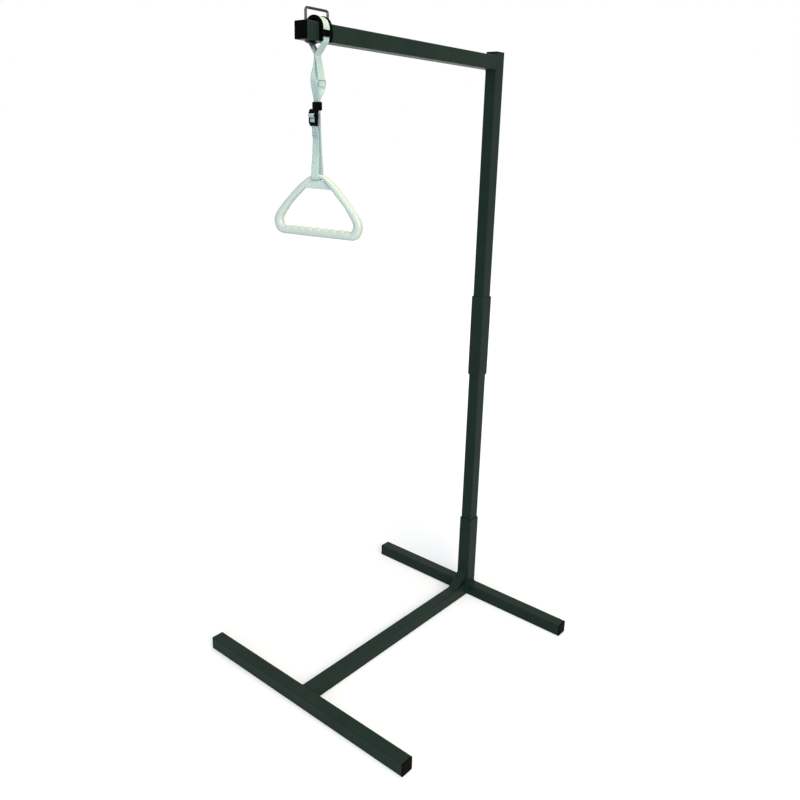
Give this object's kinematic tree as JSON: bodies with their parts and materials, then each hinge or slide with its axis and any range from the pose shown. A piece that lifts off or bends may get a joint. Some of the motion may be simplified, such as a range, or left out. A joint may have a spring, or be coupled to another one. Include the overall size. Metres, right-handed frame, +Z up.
{
  "type": "bed trapeze",
  "caption": "Free-standing bed trapeze: H-shaped floor base, two-piece square mast, fixed arm, and a triangular pull handle on an adjustable webbing strap.",
  "frame": {"origin": "on the floor, in the middle of the base's outer rectangle", "axes": "+Z up, +Y from the front cross tube towards the mast, +X along the cross tubes"},
  "size_m": [0.758, 0.804, 1.768],
  "materials": {
    "coated_steel": "dark bronze-olive powder coat, satin to slightly glossy",
    "coated_weld": "weld beads under the same dark powder coat",
    "rod_steel": "dark plated steel rod, smooth",
    "black_plastic": "black moulded plastic, satin",
    "white_webbing": "white woven polyester webbing, matt",
    "ivory_plastic": "ivory-white moulded plastic, satin gloss"
  },
  "bodies": {
    "stand": {"rear_cross_tube": "coated_steel", "front_cross_tube": "coated_steel", "centre_beam": "coated_steel", "mast_socket": "coated_steel", "brace_plate": "coated_steel", "rear_cap_left": "black_plastic", "rear_cap_right": "black_plastic", "front_cap_left": "black_plastic", "front_cap_right": "black_plastic", "weld_beam_front_left": "coated_weld", "weld_beam_front_right": "coated_weld", "weld_beam_rear_left": "coated_weld", "weld_beam_rear_right": "coated_weld", "weld_socket_left": "coated_weld", "weld_socket_right": "coated_weld", "weld_brace_foot": "coated_weld", "weld_brace_head": "coated_weld"},
    "lower_mast": {"lower_mast_tube": "coated_steel", "mast_sleeve": "coated_steel", "weld_sleeve": "coated_weld"},
    "upper_mast": {"upper_mast_tube": "coated_steel", "mast_top_cap": "black_plastic", "arm_tube": "coated_steel", "arm_end_cap": "black_plastic", "weld_arm_top": "coated_weld", "weld_arm_bottom": "coated_weld"},
    "keeper_rod": {"keeper_rod": "rod_steel"},
    "saddle": {"strap_saddle": "black_plastic", "saddle_webbing": "white_webbing"},
    "strap_upper": {"front_strand_upper": "white_webbing", "back_strand_upper": "white_webbing"},
    "strap_lower": {"front_strand_lower": "white_webbing", "back_strand_lower": "white_webbing"},
    "adjuster": {"strap_keeper": "black_plastic", "adjuster_frame": "black_plastic", "adjusting_webbing": "white_webbing", "handle_webbing": "white_webbing"},
    "tail": {"strap_tail": "white_webbing"},
    "handle": {"handle": "ivory_plastic"}
  },
  "joints": [
    {"name": "lower_mast_lift", "type": "slide", "parent": "stand", "child": "lower_mast", "axis": [0, 0, 1], "range_m": [0, 0.3]},
    {"name": "upper_mast_lift", "type": "slide", "parent": "lower_mast", "child": "upper_mast", "axis": [0, 0, 1], "range_m": [0, 0.15]},
    {"name": "rod_turn", "type": "hinge", "parent": "upper_mast", "child": "keeper_rod", "pos_m": [0, -0.35223, 1.71895], "axis": [0, 0, 1], "continuous": true},
    {"name": "saddle_slide", "type": "slide", "parent": "upper_mast", "child": "saddle", "axis": [0, 1, 0], "range_m": [-0.015, 0.003]},
    {"name": "side_swing", "type": "hinge", "parent": "saddle", "child": "strap_upper", "pos_m": [0, -0.31472, 1.669], "axis": [0, 1, 0], "range_deg": [-40, 40]},
    {"name": "fore_aft_swing", "type": "hinge", "parent": "strap_upper", "child": "strap_lower", "pos_m": [0, -0.31472, 1.635], "axis": [0.9848, -0.1736, 0], "range_deg": [-50, 50], "deforming": ["front_strand_upper", "back_strand_upper", "front_strand_lower", "back_strand_lower"]},
    {"name": "strap_length", "type": "slide", "parent": "strap_lower", "child": "adjuster", "axis": [0, 0, 1], "range_m": [-0.028, 0.024], "deforming": ["strap_tail"]},
    {"name": "tail_feed", "type": "slide", "parent": "adjuster", "child": "tail", "axis": [0, 0, 1], "range_m": [-0.028, 0.024]},
    {"name": "handle_tilt", "type": "hinge", "parent": "adjuster", "child": "handle", "pos_m": [0, -0.31472, 1.41324], "axis": [0.9563, 0.2924, 0], "range_deg": [-70, 70], "deforming": ["handle_webbing"]}
  ],
  "couplings": [
    {"joint": "tail_feed", "follows": "strap_length", "ratio": 1}
  ]
}
